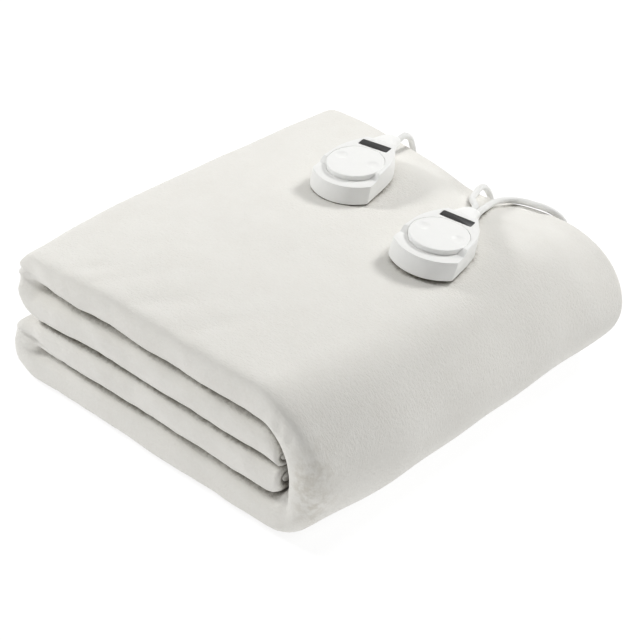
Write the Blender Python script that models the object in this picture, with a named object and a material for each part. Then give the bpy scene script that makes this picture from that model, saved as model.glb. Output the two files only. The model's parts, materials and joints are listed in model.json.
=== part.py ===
"""Electric heated blanket, folded into a square bundle, with its two heat controllers laid on top.

Metres, +Z up. The bundle stands on z = 0 and its origin is under its middle. X runs across the
spine: the big round fold is at +X and the two small round folds are at -X. Y runs along the spine:
the rounded fold ends are at -Y, and the hems are at +Y.

The cloth is one sheet. It is folded in half twice along Y, which makes a flat pad of four layers.
The two sides of the pad are then folded in from -X, and the pad is closed like a book round the
spine at +X, so that four pads lie on each other.
"""

import math

import bmesh
import bpy
import numpy as np
from mathutils import Matrix, Vector

# ---------------------------------------------------------------- cloth, folded
CLOTH = 0.0082  # thickness of the soft napped cloth
LAYER_PITCH = 0.0090  # from one layer to the next in a pad of four
PAD_PITCH = 0.0372  # from one pad to the next in the bundle of four
PAD_SLACK = PAD_PITCH / 2 - 1.5 * LAYER_PITCH - CLOTH / 2  # free space over and under each pad
BUNDLE = 4 * PAD_PITCH - 2 * PAD_SLACK  # height of the bundle before it settles

SPINE_X = 0.125  # axis of the big round fold
SMALL_FOLD_X = -0.150  # axes of the two small round folds
INNER_REACH = 0.016  # how far the two inner pads reach past the axis of the big fold
FOLD_END_Y = -0.178  # axis of the rounded fold ends
HEM_FOLD_Y = 0.187  # axis of the folds between the hems
OUTER_HEM = 0.007  # how far the hems reach past it: outermost layer
INNER_HEM = 0.003  # and the next layer

RUN_SHARES = (0.0, 0.08, 0.22, 0.45, 0.72, 0.89, 1.0)  # stations along one flat run of the sheet
BIG_TURN_STEPS = 12
SMALL_TURN_STEPS = 6
TIGHT_TURN_STEPS = 4

# ---------------------------------------------------------------- cloth, settled
NEAR_LEFT_HEIGHT = 0.145  # height over each corner of the bundle
NEAR_SPINE_HEIGHT = 0.138
FAR_LEFT_HEIGHT = 0.142
FAR_SPINE_HEIGHT = 0.133
CROWN = 0.007  # how far the middle stands above the corners
CORNER_DROP = 0.012  # how far the left near corner slumps
CORNER_SPREAD = 0.070
HEM_DROP_LEFT = 0.001  # how far the top slopes down to the hems at the small folds
HEM_DROP = 0.010  # and over the rest of the hems
HEM_SPREAD = 0.037
HEM_DIP = 0.009  # how much lower the hems lie under the cords
HEM_DIP_X = 0.036
HEM_DIP_SPREAD = 0.046
HEM_DRAW = 0.005  # how far the hems are drawn in there
BLUNT = 0.38  # how much the small folds are pressed flat
LOWER_REACH = 0.020  # how far the lower small fold sticks out under the upper one
LOWER_SPREAD = 0.060
SHOULDER = 0.005  # how much fuller its rounding is above its middle
SPINE_TUCK = 0.013  # how far the near end of the big fold is drawn in
SPINE_TUCK_SPREAD = 0.060
FOOT_TUCK = 0.5  # share of that which is left at the floor
FOOT_SPREAD = 0.030

# Crease levels at -Y, as shares of the height: crease, shift at the left, shift at the spine.
CREASES = ((0.25, 0.024, 0.007), (0.50, 0.001, 0.010), (0.75, 0.003, -0.009))
CREASE_REACH = 0.25

# ---------------------------------------------------------------- controllers
# Each has its own frame: the dial turns about its Z, its front is at -Y and its cords leave at +Y.
CASE_HALF_FRONT = 0.031
CASE_FRONT_Y = -0.0467
CASE_CORNER_Y = -0.0325
CASE_SIDE = (
    (0.0305, -0.014),
    (0.0300, -0.002),
    (0.0284, 0.012),
    (0.0242, 0.024),
    (0.0187, 0.034),
    (0.0150, 0.0405),
)
CASE_SIDE_SPACING = 0.009
CASE_HEIGHT = 0.0204
CASE_ROUND = 0.0016
FRONT_SLOPE = 0.36  # how far the front wall leans back for its height
LEAN_REAR_Y = -0.010  # the lean fades out towards here
LEAN_REACH = 0.020
LEDGE_Z = 0.0158  # the lower ledge in front of the dial
LEDGE_REAR = ((-0.0165, 0.0158), (-0.0090, 0.0216))  # its sloped rear end, Y and Z
DIAL_Y = -0.0038  # axis of the dial
SEAT_Z = 0.0095  # floor of the round seat in which the dial turns
SEAT_RADIUS = 0.0267
BORE_RADIUS = 0.0063
BORE_Z = 0.0045
GAP = 0.0003  # between pieces that touch
DIAL_RADIUS = 0.0262
DIAL_FOOT_RADIUS = 0.0256
DIAL_TOP = 0.0206
DIAL_ROUND = 0.0011
STEM_RADIUS = 0.0060
SCOOP_X = 0.0165  # two shallow finger dents, from the dial's axis
SCOOP_Y = 0.0023
SCOOP_RADIUS = 0.0062
SCOOP_DEPTH = 0.0013
LABEL_HALF = 0.0153
LABEL_FRONT_Y = 0.0240
LABEL_REAR_Y = 0.0334
LABEL_CORNER = 0.0007
LABEL_POCKET = 0.0008
LABEL_THICK = 0.0006
CIRCLE_STEPS = 48
SMALL_CIRCLE_STEPS = 16

# Boot, the tapered strain relief: distance along Y, half width, lowest and highest Z.
BOOT_SECTIONS = (
    (0.0408, 0.0146, 0.0008, 0.0196),
    (0.0440, 0.0126, 0.0012, 0.0198),
    (0.0480, 0.0104, 0.0020, 0.0196),
    (0.0530, 0.0088, 0.0030, 0.0188),
    (0.0580, 0.0080, 0.0040, 0.0173),
    (0.0620, 0.0073, 0.0048, 0.0152),
    (0.0640, 0.0067, 0.0054, 0.0136),
)
BOOT_SQUARENESS = 0.65
OUTLET_X = 0.0034
OUTLET_Z = 0.0094
BLANK_RADIUS = 0.0031  # the outlet of the left boot that holds no cord
BLANK_DEPTH = 0.0030

# Each controller: name, place of its underside under the dial, turn about Z, tilts about X and Y.
CONTROLLERS = (
    ("right", (0.0971, 0.0471, 0.1402), 11.6, -3.0, 6.0),
    ("left", (-0.0300, 0.0855, 0.1496), 9.8, 2.8, 2.6),
)

# ---------------------------------------------------------------- cords
CORD_DIAMETER = 0.0060
CORD_SPACING = 0.0125  # between the points of a cord's tube
CORD_STRAIGHT = 0.010  # how far a cord leaves its boot in a straight line
CORD_CORNERS = 2  # gives a tube of eight sides

# Routes in millimetres, after the straight stretch from the boot.
RIGHT_LEAD_ROUTE = (
    (80, 134, 141.5),
    (74, 151, 136.5),
    (69, 168, 130.5),
    (68.5, 181, 126.2),
    (74, 189, 124.7),
    (83, 192, 125.2),
    (93, 192.5, 126),
    (103, 193.5, 126.3),
    (112, 197, 123),
    (118, 202.5, 115),
    (119.5, 204.5, 106.5),
    (118, 202, 98.5),
    (116, 198.3, 95),
)
LEFT_LEAD_ROUTE = (
    (-42.5, 168.5, 158.6),
    (-48, 178.5, 152),
    (-54, 188.5, 144),
    (-59.5, 197, 134.5),
    (-62.5, 203, 125),
    (-63.5, 205.5, 115),
    (-63.5, 203, 106),
    (-63.5, 198.3, 101.5),
)
MAINS_ROUTE = (
    (65, 135, 142),
    (54, 149, 136),
    (44, 166, 129.5),
    (36, 181, 125.2),
    (32.5, 191, 122.6),
    (31, 199, 118.2),
    (31, 205, 110.5),
    (31.5, 209, 100),
    (32.5, 210, 85),
    (33, 210, 62),
    (31, 212, 39),
    (27, 219, 20),
    (25.5, 230, 11.5),
    (25, 240.5, 9.2),
)

# The unseen length of the mains lead is wound into a coil of two layers behind the bundle.
COIL_CENTRE = (-0.020, 0.2655)
COIL_RADIUS = 0.036  # middle of its turns
COIL_COLUMNS = 4  # cords side by side where the most turns lie beside each other
COIL_LAYERS = 2
COIL_EDGE = 0.0025
COIL_STEPS = 40

TAIL_ROUTE = ((-45.5, 310, 3.1), (-62, 307.5, 3.3), (-78, 300, 4.8), (-89, 288, 6.8), (-90, 275.1, 7))

PLUG_REAR = (-0.090, 0.2745, 0.0070)  # where the tail enters the plug
# Plug, a plain flat two-pin one: distance along -Y, half width, half height.
PLUG_SECTIONS = (
    (0.0000, 0.0048, 0.0044),
    (0.0100, 0.0058, 0.0050),
    (0.0140, 0.0120, 0.0064),
    (0.0200, 0.0168, 0.0070),
    (0.0330, 0.0176, 0.0070),
    (0.0350, 0.0168, 0.0062),
)
PLUG_SQUARENESS = 0.55
PIN_APART = 0.0186
PIN_RADIUS = 0.0020
PIN_LENGTH = 0.0190


# ---------------------------------------------------------------- materials
def material(name, colour, roughness, metallic=0.0):
    made = bpy.data.materials.new(name)
    made.use_nodes = True
    shader = made.node_tree.nodes["Principled BSDF"]
    shader.inputs["Base Color"].default_value = (*colour, 1.0)
    shader.inputs["Roughness"].default_value = roughness
    shader.inputs["Metallic"].default_value = metallic
    return made


# ---------------------------------------------------------------- folding the sheet
def flat_run(start, stop, level, facing):
    """Stations on a flat run: place, level, and the two parts of the sheet's outer normal."""
    low = min(start, stop)
    places = [low + abs(stop - start) * share for share in RUN_SHARES]
    if start > stop:
        places.reverse()
    return [(place, level, 0.0, facing) for place in places]


def turn(centre, level, radius, begin, end, steps, side=1.0):
    """Stations inside a round fold, without its two ends. Angles are in degrees."""
    stations = []
    for step in range(1, steps):
        angle = math.radians(begin + (end - begin) * step / steps)
        across, up = math.cos(angle), math.sin(angle)
        stations.append((centre + radius * across, level + radius * up, side * across, side * up))
    return stations


def pad_stations():
    """The sheet through one pad, seen along X: four layers from hem to hem."""
    pitch = LAYER_PITCH
    stations = [(HEM_FOLD_Y + OUTER_HEM, 1.5 * pitch, 0.0, 1.0)]
    stations += flat_run(HEM_FOLD_Y, FOLD_END_Y, 1.5 * pitch, 1.0)
    stations += turn(FOLD_END_Y, 0.0, 1.5 * pitch, 90, 270, SMALL_TURN_STEPS)
    stations += flat_run(FOLD_END_Y, HEM_FOLD_Y, -1.5 * pitch, -1.0)
    stations += turn(HEM_FOLD_Y, -pitch, 0.5 * pitch, -90, 90, TIGHT_TURN_STEPS)
    stations += flat_run(HEM_FOLD_Y, FOLD_END_Y, -0.5 * pitch, 1.0)
    stations += turn(FOLD_END_Y, 0.0, 0.5 * pitch, 270, 90, TIGHT_TURN_STEPS, side=-1.0)
    stations += flat_run(FOLD_END_Y, HEM_FOLD_Y, 0.5 * pitch, -1.0)
    stations.append((HEM_FOLD_Y + INNER_HEM, 0.5 * pitch, 0.0, -1.0))
    return np.array(stations)


def inner_end(share):
    """Half height and reach of the inner pads past the spine's axis, where the big fold rounds."""
    reach = share * INNER_REACH
    squeeze = math.sqrt(1.0 - (reach / (1.02 * PAD_PITCH)) ** 2)
    return reach, squeeze


def bundle_stations():
    """The pad through the bundle, seen along Y. The last value squeezes the pad's thickness."""
    pitch = PAD_PITCH
    upper = []
    lower = []
    for share in (0.5, 1.0):
        reach, squeeze = inner_end(share)
        upper.insert(0, (SPINE_X + reach, (2 + 0.5 * squeeze) * pitch, 0.0, -1.0, squeeze))
        lower.append((SPINE_X + reach, (2 - 0.5 * squeeze) * pitch, 0.0, 1.0, squeeze))
    middle = flat_run(SPINE_X, SMALL_FOLD_X, 2.5 * pitch, -1.0)
    middle += turn(SMALL_FOLD_X, 3 * pitch, 0.5 * pitch, 270, 90, SMALL_TURN_STEPS)
    middle += flat_run(SMALL_FOLD_X, SPINE_X, 3.5 * pitch, 1.0)
    middle += turn(SPINE_X, 2 * pitch, 1.5 * pitch, 90, -90, BIG_TURN_STEPS)
    middle += flat_run(SPINE_X, SMALL_FOLD_X, 0.5 * pitch, -1.0)
    middle += turn(SMALL_FOLD_X, pitch, 0.5 * pitch, -90, -270, SMALL_TURN_STEPS)
    middle += flat_run(SMALL_FOLD_X, SPINE_X, 1.5 * pitch, 1.0)
    return np.array(upper + [station + (1.0,) for station in middle] + lower)


def fold(offset):
    """Points of the folded sheet at an offset from its middle, as a grid of X and Y stations."""
    across = bundle_stations()
    along = pad_stations()
    y = along[:, 0] + offset * along[:, 2]
    level = along[:, 1] + offset * along[:, 3]
    depth = across[:, 4, None] * level[None, :]
    x = across[:, 0, None] + across[:, 2, None] * depth
    z = across[:, 1, None] + across[:, 3, None] * depth - PAD_SLACK
    return np.stack([x, np.broadcast_to(y, x.shape), z], axis=2)


# ---------------------------------------------------------------- settling the bundle
def fade(distance, spread):
    """1 at and before zero distance, falling smoothly to nothing over a few spreads."""
    return np.exp(-((np.maximum(distance, 0.0) / spread) ** 2))


def ramp(value):
    """From 0 to 1 with soft ends."""
    value = np.clip(value, 0.0, 1.0)
    return value * value * (3.0 - 2.0 * value)


def hem_dip(x):
    """How much of the dip under the cords there is at a place along the hems."""
    return np.exp(-(((x - HEM_DIP_X) / HEM_DIP_SPREAD) ** 2))


def height(x, y):
    """Height of the settled bundle."""
    a = np.clip((x - SMALL_FOLD_X) / (SPINE_X - SMALL_FOLD_X), -0.3, 1.3)
    b = np.clip((y - FOLD_END_Y) / (HEM_FOLD_Y - FOLD_END_Y), -0.1, 1.1)
    near = NEAR_LEFT_HEIGHT * (1 - a) + NEAR_SPINE_HEIGHT * a
    far = FAR_LEFT_HEIGHT * (1 - a) + FAR_SPINE_HEIGHT * a
    high = near * (1 - b) + far * b
    high += CROWN * np.clip(1 - (2 * a - 1) ** 2, 0, 1) * np.clip(1 - (2 * b - 1) ** 4, 0, 1)
    corner = (x - SMALL_FOLD_X + PAD_PITCH) ** 2 + (y - FOLD_END_Y + 2 * LAYER_PITCH) ** 2
    high -= CORNER_DROP * np.exp(-corner / CORNER_SPREAD**2)
    drop = HEM_DROP_LEFT + (HEM_DROP - HEM_DROP_LEFT) * ramp((a - 0.1) / 0.4)
    high -= (drop + HEM_DIP * hem_dip(x)) * fade(HEM_FOLD_Y - y, HEM_SPREAD)
    return high


def settle(points):
    """The neat bundle with its real slumps and bulges. Points on the floor stay on it."""
    x, y, z = points[..., 0], points[..., 1], points[..., 2]
    past = np.maximum(SMALL_FOLD_X - x, 0.0)
    at_small_folds = fade(x - SMALL_FOLD_X + PAD_PITCH, LOWER_SPREAD)
    x = x + BLUNT * past**2 / (2 * PAD_PITCH)
    x = x - LOWER_REACH * np.clip(1.2 - z / (2 * PAD_PITCH), 0.0, 1.0) * at_small_folds
    shoulder = np.sin(math.pi * np.clip(z / PAD_PITCH, 1.0, 2.0)) ** 2
    x = x - SHOULDER * shoulder * at_small_folds
    tuck = SPINE_TUCK * fade(y - FOLD_END_Y + 2 * LAYER_PITCH, SPINE_TUCK_SPREAD)
    tuck = tuck * (1 - FOOT_TUCK * fade(z, FOOT_SPREAD))
    x = x - tuck * ramp((x - SPINE_X + 0.02) / (2 * PAD_PITCH))
    a = np.clip((x - SMALL_FOLD_X) / (SPINE_X - SMALL_FOLD_X), -0.3, 1.3)
    b = np.clip((y - FOLD_END_Y) / (HEM_FOLD_Y - FOLD_END_Y), 0.0, 1.0)
    share = z / BUNDLE
    shifted = share.copy()
    for crease, left, right in CREASES:
        offset = np.clip(np.abs(share - crease) / CREASE_REACH, 0.0, 1.0)
        shifted += (1 - b) * (left * (1 - a) + right * a) * np.cos(offset * math.pi / 2) ** 2
    settled_y = y - HEM_DRAW * hem_dip(x) * share * fade(HEM_FOLD_Y - y, HEM_SPREAD)
    return np.stack([x, settled_y, height(x, y) * shifted], axis=-1)


def middle_of(points):
    """Middle of the bundle's box in X and Y."""
    low = points.reshape(-1, 3).min(axis=0)
    high = points.reshape(-1, 3).max(axis=0)
    return np.array([(low[0] + high[0]) / 2, (low[1] + high[1]) / 2, 0.0])


def sheet_faces(rows, columns):
    """Quads of a closed sheet: two sides of rows by columns points, and the rim between them."""
    number = np.arange(2 * rows * columns).reshape(2, rows, columns)
    faces = []
    for row in range(rows - 1):
        for column in range(columns - 1):
            for side, order in ((0, 1), (1, -1)):
                corners = [
                    number[side, row, column],
                    number[side, row + 1, column],
                    number[side, row + 1, column + 1],
                    number[side, row, column + 1],
                ]
                faces.append(corners[::order])
    rim = [(row, 0) for row in range(rows - 1)]
    rim += [(rows - 1, column) for column in range(columns - 1)]
    rim += [(row, columns - 1) for row in range(rows - 1, 0, -1)]
    rim += [(0, column) for column in range(columns - 1, 0, -1)]
    for (row, column), (next_row, next_column) in zip(rim, rim[1:] + rim[:1]):
        faces.append(
            [
                number[0, next_row, next_column],
                number[0, row, column],
                number[1, row, column],
                number[1, next_row, next_column],
            ]
        )
    return faces


def add_blanket(look):
    sides = settle(np.stack([fold(CLOTH / 2), fold(-CLOTH / 2)]))
    sides -= middle_of(sides)
    return add_mesh("blanket", sides.reshape(-1, 3), sheet_faces(*sides.shape[1:3]), look)


# ---------------------------------------------------------------- shapes
def add_mesh(name, points, faces, look=None):
    """A closed mesh as an object, shaded smooth but for its sharp edges."""
    mesh = bpy.data.meshes.new(name)
    corners = [[int(corner) for corner in face] for face in faces]
    mesh.from_pydata([tuple(float(value) for value in point) for point in points], [], corners)
    shape = bmesh.new()
    shape.from_mesh(mesh)
    bmesh.ops.recalc_face_normals(shape, faces=shape.faces[:])
    shape.to_mesh(mesh)
    shape.free()
    if look:
        mesh.materials.append(look)
    mesh.shade_smooth()
    mesh.set_sharp_from_angle(angle=math.radians(40))
    made = bpy.data.objects.new(name, mesh)
    bpy.context.scene.collection.objects.link(made)
    return made


def add_loft(name, loops, look=None, ring=False):
    """A solid through loops of equally many points: capped at both ends, or closed as a ring."""
    count = len(loops[0])
    points = [point for loop in loops for point in loop]
    faces = []
    for row in range(len(loops) if ring else len(loops) - 1):
        low = row * count
        high = (row + 1) % len(loops) * count
        for step in range(count):
            after = (step + 1) % count
            faces.append([low + step, low + after, high + after, high + step])
    if not ring:
        faces.append(list(range(count)))
        faces.append([len(points) - count + step for step in range(count)])
    return add_mesh(name, points, faces, look)


def circle(radius, z, steps):
    """A level loop about the Z axis."""
    angles = [2 * math.pi * step / steps for step in range(steps)]
    return [(radius * math.cos(angle), radius * math.sin(angle), z) for angle in angles]


def add_turned(name, profile, steps, look=None):
    """A solid turned about Z through pairs of radius and height."""
    return add_loft(name, [circle(radius, z, steps) for radius, z in profile], look)


def section(half_width, half_height, squareness, steps=SMALL_CIRCLE_STEPS):
    """A rounded rectangle about its middle, as a loop of two coordinates."""
    loop = []
    for step in range(steps):
        angle = 2 * math.pi * step / steps
        across, up = math.cos(angle), math.sin(angle)
        wide = math.copysign(abs(across) ** squareness, across)
        tall = math.copysign(abs(up) ** squareness, up)
        loop.append((half_width * wide, half_height * tall))
    return loop


def inset(outline, distance):
    """A counterclockwise outline moved inwards by a distance."""
    points = np.array(outline)
    before = points - np.roll(points, 1, axis=0)
    after = np.roll(points, -1, axis=0) - points
    before /= np.linalg.norm(before, axis=1)[:, None]
    after /= np.linalg.norm(after, axis=1)[:, None]
    along = before + after
    along /= np.linalg.norm(along, axis=1)[:, None]
    stretch = 1 / (along * after).sum(axis=1)
    inward = np.stack([-along[:, 1], along[:, 0]], axis=1)
    return points + distance * stretch[:, None] * inward


def level(outline, z):
    return [(x, y, z) for x, y in outline]


def smooth(route, spacing):
    """Evenly spaced points on a smooth curve through the route's points."""
    route = np.array(route, dtype=float)
    ends = [2 * route[0] - route[1], *route, 2 * route[-1] - route[-2]]
    fine = []
    for before, start, stop, after in zip(ends, ends[1:], ends[2:], ends[3:]):
        for share in np.linspace(0, 1, 20, endpoint=False):
            linear = stop - before
            cubic = 3 * start - before - 3 * stop + after
            bend = 2 * before - 5 * start + 4 * stop - after
            fine.append(start + 0.5 * (linear * share + bend * share**2 + cubic * share**3))
    fine.append(route[-1])
    fine = np.array(fine)
    run = np.concatenate([[0], np.cumsum(np.linalg.norm(np.diff(fine, axis=0), axis=1))])
    places = np.linspace(0, run[-1], max(2, round(run[-1] / spacing) + 1))
    return np.stack([np.interp(places, run, fine[:, axis]) for axis in range(fine.shape[1])], axis=1)


def cut(piece, cutter):
    """Takes the cutter away from the piece."""
    cutter.hide_render = True
    cutter.display_type = "WIRE"
    cutter.parent = piece
    modifier = piece.modifiers.new(cutter.name, "BOOLEAN")
    modifier.operation = "DIFFERENCE"
    modifier.object = cutter


# ---------------------------------------------------------------- controllers
def case_outline():
    """Round front between two corners, and sides that narrow to the neck."""
    rise = CASE_CORNER_Y - CASE_FRONT_Y
    radius = (CASE_HALF_FRONT**2 + rise**2) / (2 * rise)
    reach = math.asin(CASE_HALF_FRONT / radius)
    front = [
        (radius * math.sin(angle), CASE_FRONT_Y + radius - radius * math.cos(angle))
        for angle in np.linspace(-reach, reach, 13)
    ]
    right = smooth(((CASE_HALF_FRONT, CASE_CORNER_Y), *CASE_SIDE), CASE_SIDE_SPACING)[1:]
    left = [(-x, y) for x, y in right[::-1]]
    return front + [tuple(point) for point in right] + left


def leaned(outline, z):
    """The outline at a height, as the front wall leans back."""
    loop = []
    for x, y in outline:
        share = min(max((LEAN_REAR_Y - y) / LEAN_REACH, 0.0), 1.0)
        loop.append((x, y + FRONT_SLOPE * z * share, z))
    return loop


def ledge_cutter(side):
    """What is cut away above the ledge in front of the dial."""
    profile = ((2 * CASE_FRONT_Y, LEDGE_Z), *LEDGE_REAR)
    profile += ((LEDGE_REAR[1][0], 2 * CASE_HEIGHT), (2 * CASE_FRONT_Y, 2 * CASE_HEIGHT))
    loops = [[(x, y, z) for y, z in profile] for x in (-2 * CASE_HALF_FRONT, 2 * CASE_HALF_FRONT)]
    return add_loft("ledge_cutter_" + side, loops)


def add_case(side, look):
    """The housing: its front ledge, the dial's seat and bore and the label's pocket are cut out."""
    outline = case_outline()
    lower = []
    upper = []
    for share in (0.0, 0.5, 1.0):
        angle = share * math.pi / 2
        edge = inset(outline, CASE_ROUND * (1 - math.sin(angle)))
        rise = CASE_ROUND * (1 - math.cos(angle))
        lower.append(leaned(edge, rise))
        upper.insert(0, leaned(edge, CASE_HEIGHT - rise))
    case = add_loft("case_" + side, lower + upper, look)
    cut(case, ledge_cutter(side))
    above = 2 * DIAL_TOP
    profile = (
        (BORE_RADIUS, BORE_Z),
        (BORE_RADIUS, SEAT_Z),
        (SEAT_RADIUS, SEAT_Z),
        (SEAT_RADIUS, above),
    )
    seat = add_turned("seat_cutter_" + side, profile, CIRCLE_STEPS)
    seat.location = (0, DIAL_Y, 0)
    cut(case, seat)
    pocket = inset(label_outline(), -GAP)
    loops = [level(pocket, CASE_HEIGHT - LABEL_POCKET), level(pocket, CASE_HEIGHT + LABEL_POCKET)]
    cut(case, add_loft("pocket_cutter_" + side, loops))
    return case


def label_outline():
    """A plate with its corners cut a little, counterclockwise."""
    outline = []
    for x, y, turn_x, turn_y in (
        (LABEL_HALF, LABEL_FRONT_Y, -1, 1),
        (LABEL_HALF, LABEL_REAR_Y, -1, -1),
        (-LABEL_HALF, LABEL_REAR_Y, 1, -1),
        (-LABEL_HALF, LABEL_FRONT_Y, 1, 1),
    ):
        first = (x + turn_x * LABEL_CORNER, y)
        second = (x, y + turn_y * LABEL_CORNER)
        outline += [first, second] if turn_x == -turn_y else [second, first]
    return outline


def add_dial(side, look):
    """The heat dial with its stem and two finger dents."""
    foot = SEAT_Z + GAP
    profile = [(STEM_RADIUS, BORE_Z + GAP), (STEM_RADIUS, foot), (DIAL_FOOT_RADIUS, foot)]
    for share in (0.0, 0.5, 1.0):
        angle = share * math.pi / 2
        radius = DIAL_RADIUS - DIAL_ROUND * (1 - math.cos(angle))
        profile.append((radius, DIAL_TOP - DIAL_ROUND * (1 - math.sin(angle))))
    dial = add_turned("dial_" + side, profile, CIRCLE_STEPS, look)
    for name, x in (("a", SCOOP_X), ("b", -SCOOP_X)):
        lens = [
            (SCOOP_RADIUS * share, DIAL_TOP - SCOOP_DEPTH * (1 - share**2))
            for share in (0.2, 0.6, 0.85, 1.02)
        ]
        lens.append((SCOOP_RADIUS * 1.02, DIAL_TOP + SCOOP_DEPTH))
        cutter = add_turned(f"scoop_cutter_{name}_{side}", lens, SMALL_CIRCLE_STEPS)
        cutter.location = (x, SCOOP_Y, 0)
        cut(dial, cutter)
    dial.location = (0, DIAL_Y, 0)
    return dial


def add_label(side, look):
    """The plain black plate behind the dial."""
    base = CASE_HEIGHT - LABEL_POCKET + GAP
    loops = [level(label_outline(), base), level(label_outline(), base + LABEL_THICK)]
    return add_loft("label_" + side, loops, look)


def add_boot(side, look):
    """The tapered strain relief behind the case."""
    loops = []
    for y, half_width, low, high in BOOT_SECTIONS:
        loop = section(half_width, (high - low) / 2, BOOT_SQUARENESS)
        loops.append([(x, y, (low + high) / 2 + z) for x, z in loop])
    return add_loft("boot_" + side, loops, look)


def blank_outlet(boot):
    """The recess where the left boot's other cord would be."""
    profile = ((BLANK_RADIUS, 0), (BLANK_RADIUS, 3 * BLANK_DEPTH))
    cutter = add_turned("blank_cutter", profile, SMALL_CIRCLE_STEPS)
    cutter.location = (-OUTLET_X, BOOT_SECTIONS[-1][0] - BLANK_DEPTH, OUTLET_Z)
    cutter.rotation_euler = (-math.pi / 2, 0, 0)
    cut(boot, cutter)


def controller_frame(place, yaw, tilt_x, tilt_y):
    """From a controller's own frame to the part's."""
    tilts = Matrix.Rotation(math.radians(tilt_y), 4, "Y") @ Matrix.Rotation(math.radians(tilt_x), 4, "X")
    return Matrix.Translation(place) @ tilts @ Matrix.Rotation(math.radians(yaw), 4, "Z")


def add_controller(side, frame, shell_look, dial_look, label_look, boot_look):
    carrier = bpy.data.objects.new("controller_" + side, None)
    bpy.context.scene.collection.objects.link(carrier)
    carrier.matrix_world = frame
    boot = add_boot(side, boot_look)
    if side == "left":
        blank_outlet(boot)
    for piece in (add_case(side, shell_look), add_dial(side, dial_look), add_label(side, label_look), boot):
        piece.parent = carrier


# ---------------------------------------------------------------- cords
def from_outlet(frame, side, route):
    """A route in metres that starts straight out of one of the boot's two outlets."""
    start = BOOT_SECTIONS[-1][0] + 2 * GAP
    leaving = [frame @ Vector((side * OUTLET_X, start + run, OUTLET_Z)) for run in (0, CORD_STRAIGHT)]
    return leaving + [Vector(point) / 1000 for point in route]


def add_cord(name, route, look):
    """A plain round tube along the smooth curve through a route."""
    curve = bpy.data.curves.new(name, "CURVE")
    curve.dimensions = "3D"
    curve.bevel_depth = CORD_DIAMETER / 2
    curve.bevel_resolution = CORD_CORNERS
    curve.render_resolution_u = 0
    curve.use_fill_caps = True
    curve.materials.append(look)
    points = smooth(route, CORD_SPACING)
    spline = curve.splines.new("POLY")
    spline.points.add(len(points) - 1)
    for target, point in zip(spline.points, points):
        target.co = (*point, 1.0)
    made = bpy.data.objects.new(name, curve)
    bpy.context.scene.collection.objects.link(made)
    return made


def add_coil(look):
    """The outer shape of the wound mains lead, a turned ring that lies on the floor."""
    inner = COIL_RADIUS - COIL_COLUMNS * CORD_DIAMETER / 2
    outer = COIL_RADIUS + COIL_COLUMNS * CORD_DIAMETER / 2
    top = COIL_LAYERS * CORD_DIAMETER
    edge = COIL_EDGE
    profile = (
        (inner + edge, 0),
        (outer - edge, 0),
        (outer, edge),
        (outer, top - edge),
        (outer - edge, top),
        (inner + edge, top),
        (inner, top - edge),
        (inner, edge),
    )
    loops = []
    for step in range(COIL_STEPS):
        angle = 2 * math.pi * step / COIL_STEPS
        across, along = math.cos(angle), math.sin(angle)
        loops.append([(radius * across, radius * along, z) for radius, z in profile])
    coil = add_loft("mains_coil", loops, look, ring=True)
    coil.location = (*COIL_CENTRE, 0)
    return coil


def add_plug(look, pin_look):
    """A plain flat plug with two round pins, lying on the floor with its pins at -Y."""
    loops = []
    for run, half_width, half_height in PLUG_SECTIONS:
        loop = section(half_width, half_height, PLUG_SQUARENESS)
        loops.append([(x, -run, z) for x, z in loop])
    plug = add_loft("plug", loops, look)
    plug.location = PLUG_REAR
    for name, side in (("a", -1), ("b", 1)):
        profile = (
            (PIN_RADIUS, 0),
            (PIN_RADIUS, PIN_LENGTH - PIN_RADIUS / 2),
            (PIN_RADIUS / 2, PIN_LENGTH),
        )
        pin = add_turned("plug_pin_" + name, profile, SMALL_CIRCLE_STEPS, pin_look)
        pin.rotation_euler = (math.pi / 2, 0, 0)
        front = PLUG_SECTIONS[-1][0] + GAP
        pin.location = (PLUG_REAR[0] + side * PIN_APART / 2, PLUG_REAR[1] - front, PLUG_REAR[2])


def main():
    for old in list(bpy.data.objects):
        bpy.data.objects.remove(old)
    cloth = material("ivory_fleece", (0.78, 0.76, 0.71), 0.95)
    shell = material("white_shell", (0.86, 0.86, 0.83), 0.38)
    knob = material("white_dial", (0.88, 0.88, 0.85), 0.34)
    plate = material("black_plate", (0.03, 0.03, 0.03), 0.45)
    rubber = material("white_rubber", (0.84, 0.84, 0.81), 0.50)
    cord = material("white_cord", (0.80, 0.80, 0.77), 0.50)
    metal = material("pin_metal", (0.75, 0.74, 0.70), 0.25, 1.0)
    add_blanket(cloth)
    frames = {}
    for side, place, yaw, tilt_x, tilt_y in CONTROLLERS:
        frames[side] = controller_frame(place, yaw, tilt_x, tilt_y)
        add_controller(side, frames[side], shell, knob, plate, rubber)
    add_cord("lead_right", from_outlet(frames["right"], 1, RIGHT_LEAD_ROUTE), cord)
    add_cord("lead_left", from_outlet(frames["left"], 1, LEFT_LEAD_ROUTE), cord)
    add_cord("mains_lead", from_outlet(frames["right"], -1, MAINS_ROUTE), cord)
    add_coil(cord)
    add_cord("mains_tail", [Vector(point) / 1000 for point in TAIL_ROUTE], cord)
    add_plug(rubber, metal)


main()
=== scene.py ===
"""Looks of a folded electric heated blanket with its two heat controllers and their cords.

Metres, +Z up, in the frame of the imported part. The cloth is one napped sheet, folded in half twice
along Y and then in from its sides and shut like a book round the big fold at +X. It is repeated here
with fine steps, then settled, dented and creased as it lies.
"""

import json
import math

import bmesh
import bpy
import numpy as np
from mathutils import Matrix, Vector, noise

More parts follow.
